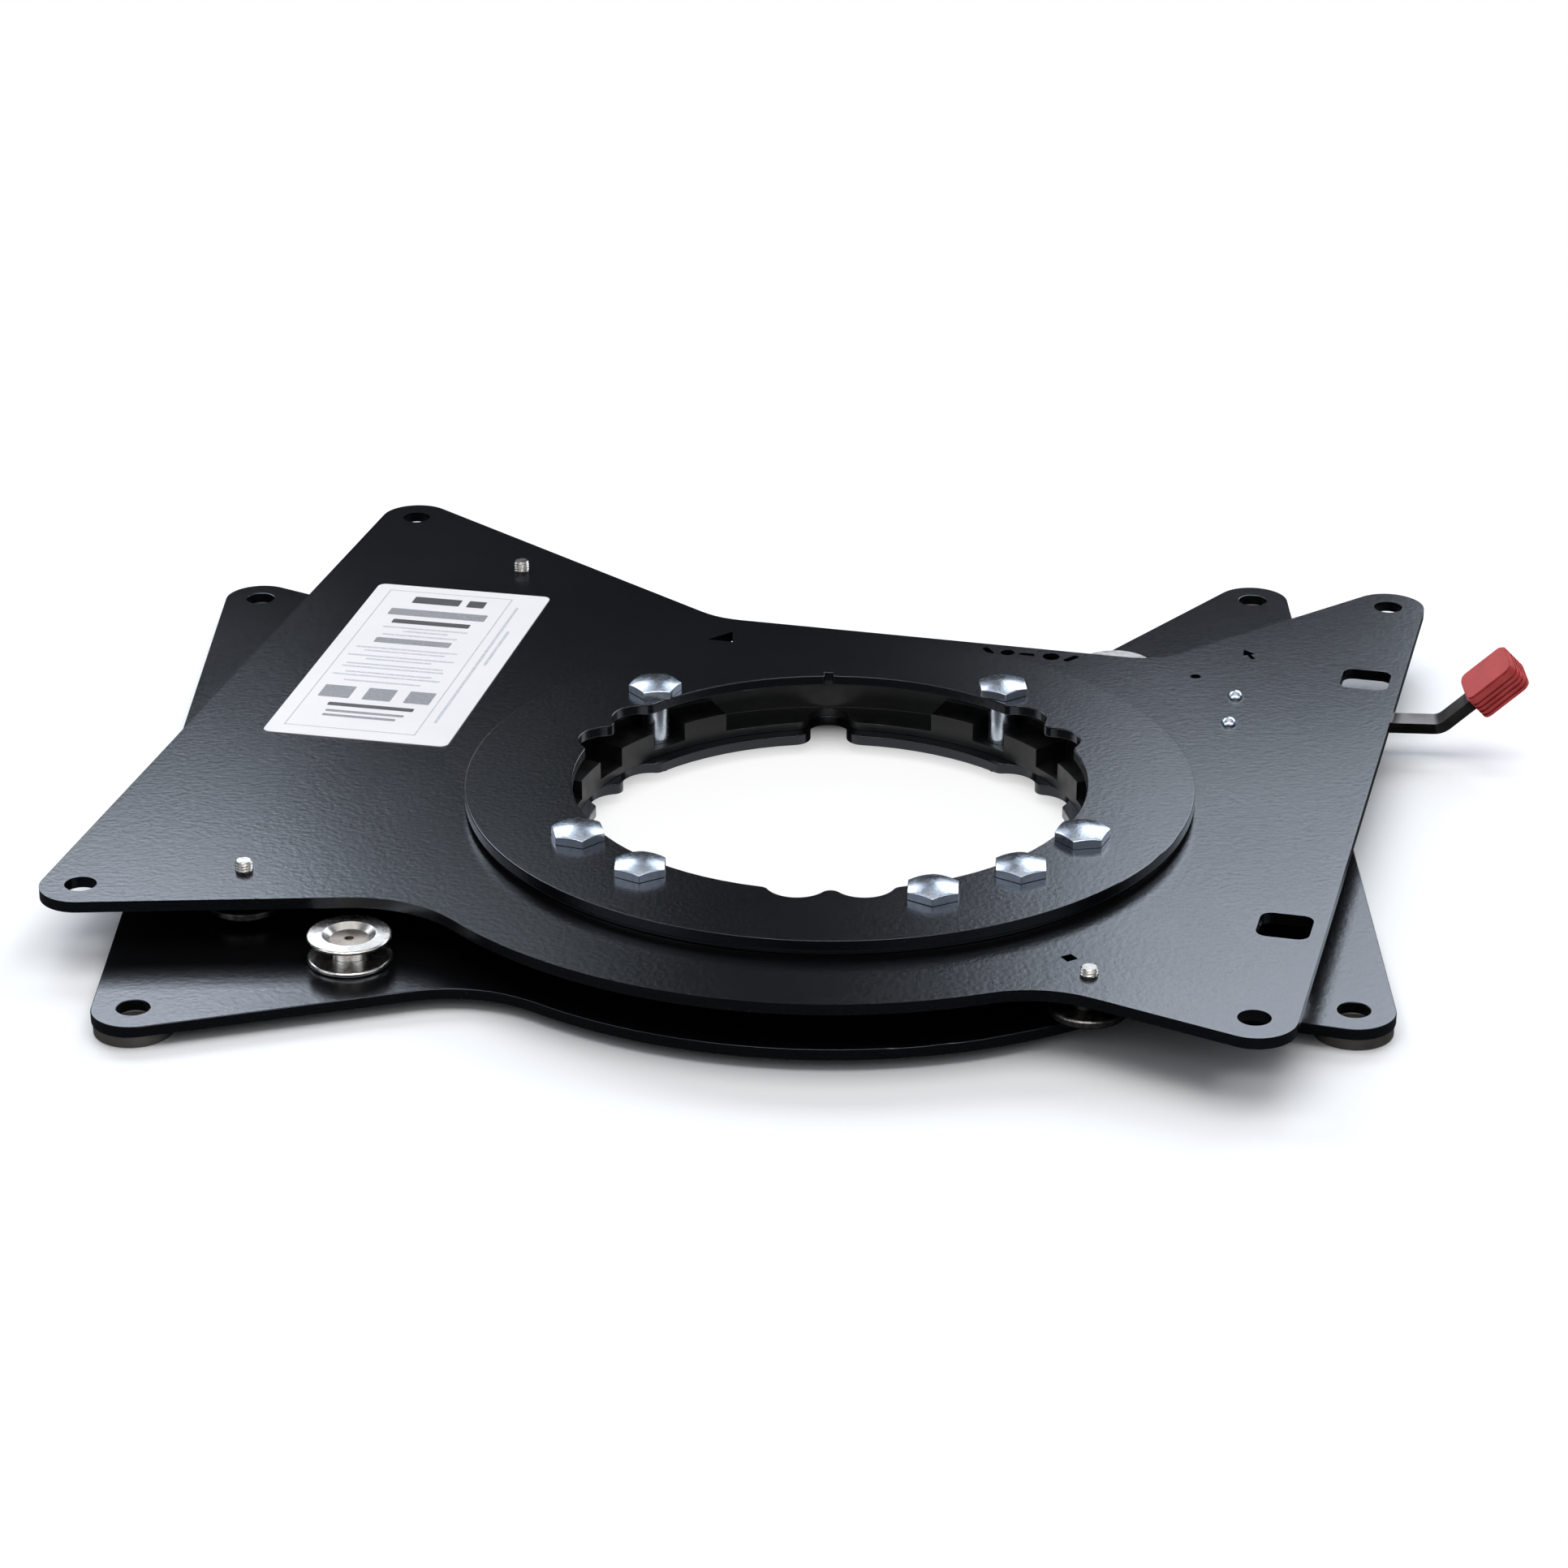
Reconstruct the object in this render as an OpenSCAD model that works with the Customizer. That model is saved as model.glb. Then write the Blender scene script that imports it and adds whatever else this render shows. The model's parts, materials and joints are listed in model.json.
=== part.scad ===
// Swivel seat base for a camper: a lower plate bolted to the vehicle's seat box and an upper plate
// that carries the seat and turns on two plastic glide rings, held down by a bolted clamp ring.
// Millimetres, +Z up. The origin is on the swivel axis, on the surface that the feet stand on.
// +Y points to the back of the base, +X to the side of the latch lever.

/* [Plates] */
// Thickness of the lower plate
lower_t = 4; // [3:0.5:6]
// Thickness of the upper plate
upper_t = 4; // [3:0.5:6]
// Clear height between the two plates
plate_gap = 12.5; // [12:0.5:16]
// Corner holes, distance from left to right
pattern_w = 400; // [390:5:420]
// Corner holes, distance from front to back
pattern_d = 355; // [350:5:365]
// Centre of the corner holes, sideways from the swivel axis
pattern_x = -28.6; // [-34:0.2:-24]
// Centre of the corner holes, back from the swivel axis
pattern_y = 44; // [40:0.5:48]
// Diameter of the corner holes
corner_hole_d = 11; // [8:0.5:13]
// Radius of the ear round each corner hole
ear_r = 14; // [12:0.5:16]
// Radius of the round front of the plates
bulge_r = 162; // [156:1:168]
// Slope of the two straight front edges
front_slope = 16.4; // [14:0.2:18]
// Distance of the straight back edge from the swivel axis
back_edge_y = 147; // [140:1:152]
// Slope of the edge up to the back left ear
back_left_slope = 31.5; // [28:0.5:34]
// Slope of the edge up to the back right ear
back_right_slope = 51; // [46:0.5:54]
// Radius of the front left hollow corner
front_left_fillet = 45; // [20:1:60]
// Radius of the front right hollow corner
front_right_fillet = 40; // [20:1:50]
// Radius of the back left hollow corner
back_left_fillet = 32; // [15:1:50]
// Radius of the back right hollow corner
back_right_fillet = 25; // [10:1:40]
// How far the upper plate stands turned from its driving position
rest_turn = -13.8; // [-30:0.2:0]

/* [Feet] */
// Diameter of the four spacer feet
foot_d = 27; // [22:0.5:28]
// Height of the feet
foot_h = 4; // [4:0.5:8]

/* [Clamp ring] */
// Outer radius of the clamp ring
clamp_r = 129; // [127:0.5:135]
// Radius of the opening in the clamp ring
clamp_open_r = 91; // [88:0.5:92]
// Thickness of the clamp ring
clamp_t = 4; // [3:0.5:6]
// Depth of the round pockets in the edge of an opening
pocket_depth = 6; // [4:0.5:7]
// Radius of the round pockets
pocket_r = 10.7; // [10:0.1:12]
// Half of the angle between the two pockets of a pair
pocket_half = 7.5; // [7:0.1:8]
// Radius of the rounded corners between the pockets
pocket_corner_r = 3.5; // [3:0.5:5]
// Width of the index notch at the back of the clamp ring
index_w = 3; // [2:0.5:5]
// Depth of the index notch
index_depth = 3.5; // [2:0.5:5]

/* [Bolts] */
// Radius of the circle of bolts
bolt_ring_r = 100; // [99:0.2:100.4]
// Diameter of a bolt's smooth shoulder
shoulder_d = 10; // [8:0.5:10.5]
// Diameter of a bolt's thread
thread_d = 8; // [6:0.5:8]
// Width of a bolt head across its flats
head_af = 17; // [14:0.5:18]
// Height of a bolt head at its middle
head_h = 4.7; // [4:0.1:6]
// Radius of the domed top of a bolt head
head_dome_r = 26; // [20:1:40]
// Diameter of a nut's flange
nut_flange_d = 18.6; // [16:0.2:19]
// Thickness of a nut's flange
nut_flange_t = 1.2; // [1:0.1:1.5]
// Width of a nut across its flats
nut_af = 13; // [12:0.5:14]
// Height of a nut with its flange
nut_h = 3.4; // [2.5:0.1:3.5]

/* [Glide rings] */
// Radius of the bore of the lower glide ring
glide_bore_r = 92; // [91:0.5:93]
// Thickness of its floor, between the teeth
glide_floor_t = 3; // [2:0.5:4]
// Height of its teeth
tooth_h = 10; // [7:0.5:11]
// Width of a tooth as an angle
tooth_angle = 11; // [8:0.5:12]
// Inner radius of the raised track
track_in_r = 106; // [105.8:0.1:106.8]
// Outer radius of the raised track
track_out_r = 126; // [120:0.5:128]
// Wall of the hollow track
track_wall = 3; // [2:0.5:4]
// Radius of the hole in the upper plate
upper_hole_r = 108; // [107.8:0.1:110]
// Wall of the neck that centres the upper plate
neck_wall = 2.5; // [1.5:0.1:2.6]
// Height of the gap between upper plate and clamp ring
glide_gap = 2; // [1.5:0.1:3]
// Outer radius of the upper glide ring
upper_glide_r = 127; // [120:0.5:128]

/* [Lower opening] */
// Radius of the opening in the lower plate
lower_open_r = 87.2; // [85:0.2:88]
// How far the cable notch reaches from the swivel axis
cable_reach = 105; // [102:0.2:105.2]
// Radius of the rounded top of the cable notch
cable_top_r = 7.5; // [6:0.5:8]
// Radius of the rounded corners at its mouth
cable_mouth_r = 6.6; // [5:0.2:8]

/* [Spools] */
// Diameter of the flanges of a spool
spool_d = 28.7; // [26:0.1:29.5]
// Radius of a spool's neck
spool_neck_r = 6; // [5.6:0.1:6.2]
// Thickness of a spool's lower flange
spool_base_t = 1.9; // [1.5:0.1:2.4]
// Height of the groove between a spool's flanges
groove_h = 5; // [5:0.1:5.6]
// Thickness of a spool's upper flange
spool_top_t = 2.9; // [2.5:0.1:3.2]
// Radius of the dished mouth in the top of a spool
dish_r = 9; // [8:0.5:10]
// Depth of the dished mouth
dish_depth = 3.5; // [3:0.1:3.6]
// Diameter of the screw that holds a spool
spool_screw_d = 8; // [6:0.5:8]

/* [Catch buttons] */
// Diameter of a button's flange
button_d = 26; // [22:0.5:26.4]
// Thickness of a button's flange
button_flange_t = 3.2; // [2.9:0.1:3.8]
// Height left free under a button's flange
button_play = 0.5; // [0.3:0.1:0.8]
// Radius of a button's neck
button_neck_r = 5.5; // [5:0.1:5.8]
// Diameter of the screw that holds a button
button_screw_d = 6; // [4:0.5:6]
// Height of the front left screw's end above the upper plate
screw_stand = 3.4; // [2:0.1:6]

/* [Latch lever] */
// Thickness of the lever plate
lever_t = 4; // [3:0.1:4.2]
// Width of the lever's bar
bar_w = 9.7; // [8:0.1:11]
// Distance of the bar's end back from the swivel axis
bar_y = 139.4; // [137:0.1:141]
// Distance of the bar's end from the side of the plates
bend_out = 13.4; // [11:0.1:22]
// Length of the bar's angled end
bar_end_len = 20; // [14:1:30]
// Sideways angle of that end and of the arm
arm_yaw = 10; // [0:0.5:14]
// Angle by which the arm rises at the bend
arm_rise = 43; // [30:0.5:56]
// Radius of the bend on its inner side
bend_r = 5; // [3:0.5:8]
// Length of the arm from the bend to the grip
arm_len = 14.5; // [12:0.5:25]
// Angle between the lever's open and closed positions
latch_turn = 20; // [18:0.5:22]
// Width of the hook's claw
hook_w = 6.2; // [5:0.1:7]
// Radius of the lever's boss round its pivot
boss_r = 9; // [7:0.5:10]
// Diameter of the pivot pin and the guide pin
pin_d = 8; // [6:0.2:8.4]
// Diameter of the pins' domed upper ends
dome_d = 6; // [5.6:0.1:7]
// Diameter of the pins' lower heads and the spacers
pin_head_d = 11; // [10:0.1:11.6]
// Thickness of the pins' lower heads
pin_head_t = 1.4; // [1:0.1:1.8]

/* [Lever grip] */
// Length of the grip
grip_len = 21.3; // [18:0.1:26]
// Width of the grip
grip_w = 17.8; // [16:0.1:24]
// Thickness of the grip
grip_t = 11.2; // [10:0.1:13]
// Angle by which the grip is turned about the arm
grip_twist = 10; // [0:0.5:12]
// Number of grooves round the grip
grip_grooves = 4; // [2:1:5]

/* [Label] */
// Width of the label
label_w = 70; // [40:1:80]
// Length of the label
label_len = 147; // [100:1:160]
// Thickness of the label
label_t = 0.3; // [0.2:0.1:0.6]

/* [Clearances] */
// Radial play of a turning pin in its hole
pin_play = 0.1; // [0.05:0.01:0.2]
// Radial play of a screw or bolt in its hole
screw_play = 0.2; // [0.1:0.05:0.4]
// Play of the upper plate between the glide rings
glide_play = 0.1; // [0.05:0.01:0.15]
// Space between the hook and the spool's neck
hook_play = 0.8; // [0.6:0.1:1]
// Height left free under a spool's upper flange
groove_play = 0.3; // [0.2:0.1:0.5]

/* [Hidden] */
$fn = 96;

powder_black = [0.13, 0.13, 0.15];
plastic_black = [0.07, 0.07, 0.07];
zinc = [0.80, 0.83, 0.88];
bare_steel = [0.62, 0.60, 0.57];
copper_brown = [0.50, 0.36, 0.28];
turned_steel = [0.82, 0.80, 0.76];
dark_steel = [0.25, 0.24, 0.24];
salmon = [0.80, 0.40, 0.42];
paper_white = [0.93, 0.93, 0.95];

// Heights of the stack, from the floor up
lower_top = foot_h + lower_t;
upper_z = lower_top + plate_gap;
upper_top = upper_z + upper_t;
clamp_z = upper_top + glide_gap;
clamp_top = clamp_z + clamp_t;

// Corners of the plates
hole_left = pattern_x - pattern_w / 2;
hole_right = pattern_x + pattern_w / 2;
hole_front = pattern_y - pattern_d / 2;
hole_back = pattern_y + pattern_d / 2;
corners = [
    [hole_left, hole_front], [hole_right, hole_front], [hole_right, hole_back], [hole_left, hole_back]
];

// Where things stand on the plates, measured from the swivel axis
pair_angles = [30, 150, 270];
bolt_angles = [50, 130, 210, 230, 290, 310, 330];
head_turns = [34, 6, 42, 30, 27, 28, 8];
tooth_pitch = 20;
front_left_spool_at = [-160.9, -98.7];
back_right_spool_at = [110.3, 132.3];
button_places = [[-179, -109.2], [114.8, -116], [-169.3, 176.6]];
screw_stands = [screw_stand, screw_stand - 0.9, screw_stand + 0.5];
pivot_at = [126.7, 119.5];
guide_at = [128.1, 94.5];
label_at = [-181.5, 76];
label_turn = 2;

// Small openings cut in the upper plate
square_hole = 18;
square_hole_r = 4;
square_holes_at = [[171.8, 147.5], [171.6, -66.2]];
diamond_at = [106.4, -106.5];
diamond_side = 4.2;
triangle_at = [-73.6, 130];
triangle_side = 10;
sight_hole_at = [109.2, 135];
sight_hole_d = 4;
arrow_at = [125.5, 161];
arrow_len = 10;
row_x = [28.4, 35.9, 43.4, 52.8, 60.5];
row_y = 140.5;
row_small_d = 5.4;
row_large_d = 6.6;
row_slot = [2.6, 7];
row_dash = [6, 2.4];
row_lean = 35;

// Heights of the latch, all tied to the groove of the spools
groove_top = lower_top + spool_base_t + groove_h;
lever_top = groove_top - groove_play;
lever_z = lever_top - lever_t;
button_z = lower_top + spool_base_t + button_play;
button_flange_top = button_z + button_flange_t;
button_bore_r = button_screw_d / 2 + screw_play;
button_sink = button_screw_d / 2 - 0.4;
washer_t = 0.7;
washer_z = lever_top + glide_play;

// The hook, drawn with the lever open. Closed, it lies round the neck of the back right spool
hook_at = pivot_at + turn_by(back_right_spool_at - pivot_at, -latch_turn);
hook_in_r = spool_neck_r + hook_play;
hook_out_r = hook_in_r + hook_w;
neck_path_angle = atan2(back_right_spool_at.y, back_right_spool_at.x);
guide_r = norm(guide_at - pivot_at);
guide_angle = atan2(guide_at.y - pivot_at.y, guide_at.x - pivot_at.x);
slot_half = pin_d / 2 + 0.4;
slot_wall = 4.4;

// The bar turns sideways at its joint, and ends where the arm bends up
bar_end = [hole_right + ear_r + bend_out, bar_y];
bar_joint = bar_end - polar(bar_end_len, arm_yaw);
arm_start = arm_len - bend_r * tan(arm_rise / 2);
tang_len = grip_len * 0.75;

// Turns a point about the origin
function turn_by(p, a) = [p.x * cos(a) - p.y * sin(a), p.x * sin(a) + p.y * cos(a)];
// Point at a radius and an angle
function polar(r, a) = [r * cos(a), r * sin(a)];
// Direction from one point to another
function heading(a, b) = atan2(b.y - a.y, b.x - a.x);
// Sweep from one angle to another, to the left or to the right
function left_sweep(a, b) = (b - a) - 360 * floor((b - a) / 360);
function right_sweep(a, b) = left_sweep(a, b) - 360;
// Points along an arc, close enough together for its radius
function arc_steps(r, sweep) = ceil(max(abs(sweep) / 7.5, abs(sweep) * r / 400, 3));
function arc(c, r, start, sweep) =
    let (n = arc_steps(r, sweep)) [for (i = [0:n]) c + polar(r, start + sweep * i / n)];
// Arcs round a centre from the heading of one point to the heading of another
function left_arc(c, r, from, to) =
    arc(c, r, heading(c, from), left_sweep(heading(c, from), heading(c, to)));
function right_arc(c, r, from, to) =
    arc(c, r, heading(c, from), right_sweep(heading(c, from), heading(c, to)));
// First point where a line from p in direction d meets a circle round the origin
function meets_circle(p, d, r) = let (b = p * d) p + d * (-b - sqrt(b * b - p * p + r * r));
// Angle at the origin between points at two radii that lie a given distance apart
function angle_between(r1, r2, apart) = acos((r1 * r1 + r2 * r2 - apart * apart) / (2 * r1 * r2));

// Front hollow corner between a sloping edge and the round front, side -1 left or 1 right
function front_ear(side) = side < 0 ? corners[0] : corners[1];
function edge_out(side) = [-side * sin(front_slope), -cos(front_slope)];
function edge_along(side) = [-side * cos(front_slope), sin(front_slope)];
function front_centre(side, r) =
    meets_circle(front_ear(side) + edge_out(side) * (ear_r + r), edge_along(side), bulge_r + r);
function front_arc_left(r) =
    let (c = front_centre(-1, r)) right_arc(c, r, c - edge_out(-1), [0, 0]);
function front_arc_right(r) =
    let (c = front_centre(1, r)) right_arc(c, r, [0, 0], c - edge_out(1));
// Back hollow corner between the straight back edge and a slope up to an ear
function back_out(side, slope) = [-side * sin(slope), cos(slope)];
function back_corner_x(side, slope) =
    let (ear = side < 0 ? corners[3] : corners[2], p = ear + back_out(side, slope) * ear_r)
    p.x - side * (p.y - back_edge_y) / tan(slope);
function back_centre(side, slope, r) =
    [back_corner_x(side, slope) - side * r * tan(slope / 2), back_edge_y + r];

// Outline that both plates share, from the front left ear to the left
plate_points = concat(
    arc(corners[0], ear_r, 180, 90 + front_slope),
    front_arc_left(front_left_fillet),
    left_arc([0, 0], bulge_r, front_centre(-1, front_left_fillet), front_centre(1, front_right_fillet)),
    front_arc_right(front_right_fillet),
    arc(corners[1], ear_r, -90 - front_slope, 90 + front_slope),
    arc(corners[2], ear_r, 0, 90 + back_right_slope),
    arc(back_centre(1, back_right_slope, back_right_fillet), back_right_fillet,
        back_right_slope - 90, -back_right_slope),
    arc(back_centre(-1, back_left_slope, back_left_fillet), back_left_fillet, -90, -back_left_slope),
    arc(corners[3], ear_r, 90 - back_left_slope, 90 + back_left_slope)
);

// Edge of an opening along a pair of pockets, and the angle that it takes on either side
function pocket_centre_r(open_r) = open_r + pocket_depth - pocket_r;
function pair_reach(open_r) = pocket_half
    + angle_between(open_r + pocket_corner_r, pocket_centre_r(open_r), pocket_r + pocket_corner_r);
function bump_r(open_r) =
    let (c = pocket_centre_r(open_r), s = c * sin(pocket_half))
    c * cos(pocket_half) + sqrt(pow(pocket_r + pocket_corner_r, 2) - s * s);
function pair_edge(open_r, a) =
    let (
        reach = pair_reach(open_r),
        c1 = polar(pocket_centre_r(open_r), a - pocket_half),
        c2 = polar(pocket_centre_r(open_r), a + pocket_half),
        f1 = polar(open_r + pocket_corner_r, a - reach),
        f2 = polar(open_r + pocket_corner_r, a + reach),
        bump = polar(bump_r(open_r), a)
    )
    concat(
        right_arc(f1, pocket_corner_r, [0, 0], c1),
        left_arc(c1, pocket_r, f1, bump),
        right_arc(bump, pocket_corner_r, c1, c2),
        left_arc(c2, pocket_r, bump, f2),
        right_arc(f2, pocket_corner_r, c2, [0, 0])
    );
// Edge of an opening from one angle to another, where it is plain
function plain_edge(open_r, from, to) = arc([0, 0], open_r, from, to - from);

// Edge of the cable notch at the back, and the angle that it takes on either side
function cable_half(open_r) =
    angle_between(open_r + cable_mouth_r, cable_reach - cable_top_r, cable_top_r + cable_mouth_r);
function cable_edge(open_r) =
    let (
        top = [0, cable_reach - cable_top_r],
        right = polar(open_r + cable_mouth_r, 90 - cable_half(open_r)),
        left = polar(open_r + cable_mouth_r, 90 + cable_half(open_r))
    )
    concat(
        right_arc(right, cable_mouth_r, [0, 0], top),
        left_arc(top, cable_top_r, right, left),
        right_arc(left, cable_mouth_r, top, [0, 0])
    );

module at(p, z = 0) {
    translate([p.x, p.y, z]) children();
}

module turned() {
    rotate([0, 0, rest_turn]) children();
}

module disc_hole(p, r, z, h) {
    at(p, z - 1) cylinder(r = r, h = h + 2);
}

module hexagon(af) {
    circle(d = af / cos(30), $fn = 6);
}

module rounded_box(w, d, r) {
    polygon(concat(
        arc([w / 2 - r, d / 2 - r], r, 0, 90),
        arc([r - w / 2, d / 2 - r], r, 90, 90),
        arc([r - w / 2, r - d / 2], r, 180, 90),
        arc([w / 2 - r, r - d / 2], r, 270, 90)
    ));
}

// Band of a given half width along an arc, with round ends
module curved_slot(c, r, from, to, half) {
    polygon(concat(
        arc(c, r + half, from, to - from),
        arc(c + polar(r, to), half, to, 180),
        arc(c, r - half, to, from - to),
        arc(c + polar(r, from), half, from + 180, 180)
    ));
}

module plate_blank(t) {
    linear_extrude(t) polygon(plate_points);
}

module corner_holes(z, t) {
    for (p = corners) disc_hole(p, corner_hole_d / 2, z, t);
}

module lower_opening() {
    reach = pair_reach(lower_open_r);
    notch = cable_half(lower_open_r);
    polygon(concat(
        pair_edge(lower_open_r, pair_angles[0]),
        plain_edge(lower_open_r, pair_angles[0] + reach, 90 - notch),
        cable_edge(lower_open_r),
        plain_edge(lower_open_r, 90 + notch, pair_angles[1] - reach),
        pair_edge(lower_open_r, pair_angles[1]),
        plain_edge(lower_open_r, pair_angles[1] + reach, pair_angles[2] - reach),
        pair_edge(lower_open_r, pair_angles[2]),
        plain_edge(lower_open_r, pair_angles[2] + reach, pair_angles[0] + 360 - reach)
    ));
}

module clamp_opening() {
    reach = pair_reach(clamp_open_r);
    polygon([for (i = [0:2]) each concat(
        pair_edge(clamp_open_r, pair_angles[i]),
        plain_edge(clamp_open_r, pair_angles[i] + reach, pair_angles[i] + 120 - reach)
    )]);
}

module lower_plate() {
    color(powder_black) difference() {
        translate([0, 0, foot_h]) plate_blank(lower_t);
        translate([0, 0, foot_h - 1]) linear_extrude(lower_t + 2) lower_opening();
        corner_holes(foot_h, lower_t);
        for (a = bolt_angles) disc_hole(polar(bolt_ring_r, a), thread_d / 2 + screw_play, foot_h, lower_t);
        for (p = [front_left_spool_at, back_right_spool_at])
            disc_hole(p, spool_screw_d / 2 + screw_play, foot_h, lower_t);
    }
}

// Bare steel spacer under one corner of the lower plate
module foot(i) {
    color(bare_steel) at(corners[i]) difference() {
        cylinder(d = foot_d, h = foot_h);
        translate([0, 0, -1]) cylinder(d = corner_hole_d, h = foot_h + 2);
    }
}

// Lower glide ring: a floor with teeth round its bore, and a hollow raised track for the upper plate
module lower_glide_ring() {
    track_h = plate_gap - glide_play / 2;
    gap_half = (tooth_pitch - tooth_angle) / 2;
    color(plastic_black) translate([0, 0, lower_top]) difference() {
        rotate_extrude() polygon([
            [glide_bore_r, 0], [track_in_r + track_wall, 0],
            [track_in_r + track_wall, track_h - track_wall],
            [track_out_r - track_wall, track_h - track_wall], [track_out_r - track_wall, 0],
            [track_out_r, 0], [track_out_r, track_h], [track_in_r, track_h],
            [track_in_r, tooth_h], [glide_bore_r, tooth_h]
        ]);
        for (a = [90 + 2 * tooth_pitch:tooth_pitch:90 + 16 * tooth_pitch])
            tooth_gap(a - gap_half, a + gap_half);
        tooth_gap(90 - tooth_pitch - gap_half, 90 + tooth_pitch + gap_half);
        for (a = bolt_angles) disc_hole(polar(bolt_ring_r, a), shoulder_d / 2 + screw_play, 0, glide_floor_t);
        translate([0, 0, -1]) linear_extrude(glide_floor_t + 2)
            polygon(concat(cable_edge(glide_bore_r), [[0, 0]]));
    }
}

// Gap between two teeth, cut down to the floor and a little into the wall of the track
module tooth_gap(from, to) {
    rotate([0, 0, from]) rotate_extrude(angle = to - from)
        translate([glide_bore_r - 5, glide_floor_t]) square([track_in_r - glide_bore_r + 5.4, plate_gap]);
}

// Upper glide ring: a thin flange under the clamp ring, and a neck that centres the upper plate
module upper_glide_ring() {
    neck_out_r = upper_hole_r - glide_play;
    flange_z = upper_top + glide_play;
    color(plastic_black) rotate_extrude() polygon([
        [neck_out_r - neck_wall, upper_z - glide_play / 2], [neck_out_r, upper_z - glide_play / 2],
        [neck_out_r, flange_z],
        [upper_glide_r, flange_z], [upper_glide_r, clamp_z], [neck_out_r - neck_wall, clamp_z]
    ]);
}

module clamp_ring() {
    color(powder_black) difference() {
        translate([0, 0, clamp_z]) cylinder(r = clamp_r, h = clamp_t);
        translate([0, 0, clamp_z - 1]) linear_extrude(clamp_t + 2) clamp_opening();
        translate([-index_w / 2, 0, clamp_z - 1]) cube([index_w, clamp_open_r + index_depth, clamp_t + 2]);
        for (a = bolt_angles) disc_hole(polar(bolt_ring_r, a), shoulder_d / 2 + screw_play, clamp_z, clamp_t);
    }
}

// Bolt with a smooth shoulder down to the lower plate and a thread through it
module shoulder_bolt(head_turn) {
    thread_z = foot_h - nut_h;
    translate([0, 0, clamp_top]) rotate([0, 0, head_turn]) intersection() {
        linear_extrude(head_h) hexagon(head_af);
        translate([0, 0, head_h - head_dome_r]) sphere(r = head_dome_r);
    }
    translate([0, 0, lower_top]) cylinder(d = shoulder_d, h = clamp_top - lower_top);
    translate([0, 0, thread_z]) cylinder(d = thread_d, h = lower_top - thread_z);
}

module shoulder_bolts() {
    color(zinc) for (i = [0:len(bolt_angles) - 1])
        at(polar(bolt_ring_r, bolt_angles[i])) shoulder_bolt(head_turns[i]);
}

module flange_nut() {
    difference() {
        union() {
            translate([0, 0, foot_h - nut_flange_t]) cylinder(d = nut_flange_d, h = nut_flange_t);
            translate([0, 0, foot_h - nut_h]) linear_extrude(nut_h) hexagon(nut_af);
        }
        translate([0, 0, foot_h - nut_h - 1]) cylinder(r = thread_d / 2 + pin_play / 2, h = nut_h + 2);
    }
}

module flange_nuts() {
    color(copper_brown) for (a = bolt_angles) at(polar(bolt_ring_r, a)) flange_nut();
}

// Turned spool: two flanges with a groove between them, and a dished top for its screw
module spool(p) {
    r = spool_d / 2;
    edge = 0.5;
    step_r = spool_neck_r + 4.2;
    groove_z = spool_base_t + groove_h;
    top = groove_z + spool_top_t;
    bore_r = spool_screw_d / 2 + screw_play;
    color(turned_steel) at(p, lower_top) rotate_extrude() polygon([
        [bore_r, 0], [r - edge, 0], [r, edge], [r, spool_base_t - edge], [r - edge, spool_base_t],
        [spool_neck_r, spool_base_t], [spool_neck_r, groove_z], [step_r, groove_z],
        [r - edge, groove_z + spool_top_t / 2], [r, top - spool_top_t / 2 + edge], [r, top - edge],
        [r - edge, top], [dish_r, top], [bore_r, top - dish_depth]
    ]);
}

// Dished socket screw of a spool, threaded through the lower plate
module spool_screw(p) {
    top = spool_base_t + groove_h + spool_top_t;
    bore_r = spool_screw_d / 2 + screw_play;
    recess = 1.7;
    head_top = top - recess;
    head_r = bore_r + (dish_r - bore_r) * (1 - recess / dish_depth);
    socket_af = 3;
    socket_depth = 2;
    reach = lower_t + foot_h / 2;
    color(zinc) at(p, lower_top) difference() {
        rotate_extrude() polygon([
            [0, -reach], [spool_screw_d / 2, -reach], [spool_screw_d / 2, top - dish_depth],
            [bore_r, top - dish_depth], [head_r, head_top], [0, head_top]
        ]);
        translate([0, 0, head_top - socket_depth]) linear_extrude(socket_depth + 1) hexagon(socket_af);
    }
}

module spool_screws() {
    for (p = [front_left_spool_at, back_right_spool_at]) spool_screw(p);
}

module upper_plate() {
    color(powder_black) turned() translate([0, 0, upper_z]) difference() {
        plate_blank(upper_t);
        disc_hole([0, 0], upper_hole_r, 0, upper_t);
        corner_holes(0, upper_t);
        for (p = button_places) disc_hole(p, button_screw_d / 2 + pin_play / 2, 0, upper_t);
        for (p = [pivot_at, guide_at]) disc_hole(p, tenon_r() + pin_play / 2, 0, upper_t);
        disc_hole(sight_hole_at, sight_hole_d / 2, 0, upper_t);
        translate([0, 0, -1]) linear_extrude(upper_t + 2) small_openings();
    }
}

module small_openings() {
    for (p = square_holes_at) translate(p) rounded_box(square_hole, square_hole, square_hole_r);
    translate(diamond_at) rotate(45) square(diamond_side, center = true);
    translate(triangle_at) polygon([
        [-triangle_side / 2, -triangle_side / 2], [triangle_side / 2, -triangle_side / 2],
        [triangle_side / 4, triangle_side / 2]
    ]);
    translate(arrow_at) rotate(-60) {
        translate([0, -0.8]) square([arrow_len / 2, 1.6]);
        polygon([[0.5, -arrow_len / 4], [0.5, arrow_len / 4], [-arrow_len / 2, 0]]);
    }
    translate([row_x[0], row_y]) rotate(row_lean) rounded_box(row_slot.x, row_slot.y, 1);
    translate([row_x[1], row_y]) circle(d = row_small_d);
    translate([row_x[2], row_y]) rounded_box(row_dash.x, row_dash.y, 1);
    translate([row_x[3], row_y]) circle(d = row_large_d);
    translate([row_x[4], row_y]) rotate(-row_lean) rounded_box(row_slot.x, row_slot.y, 1);
}

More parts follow.
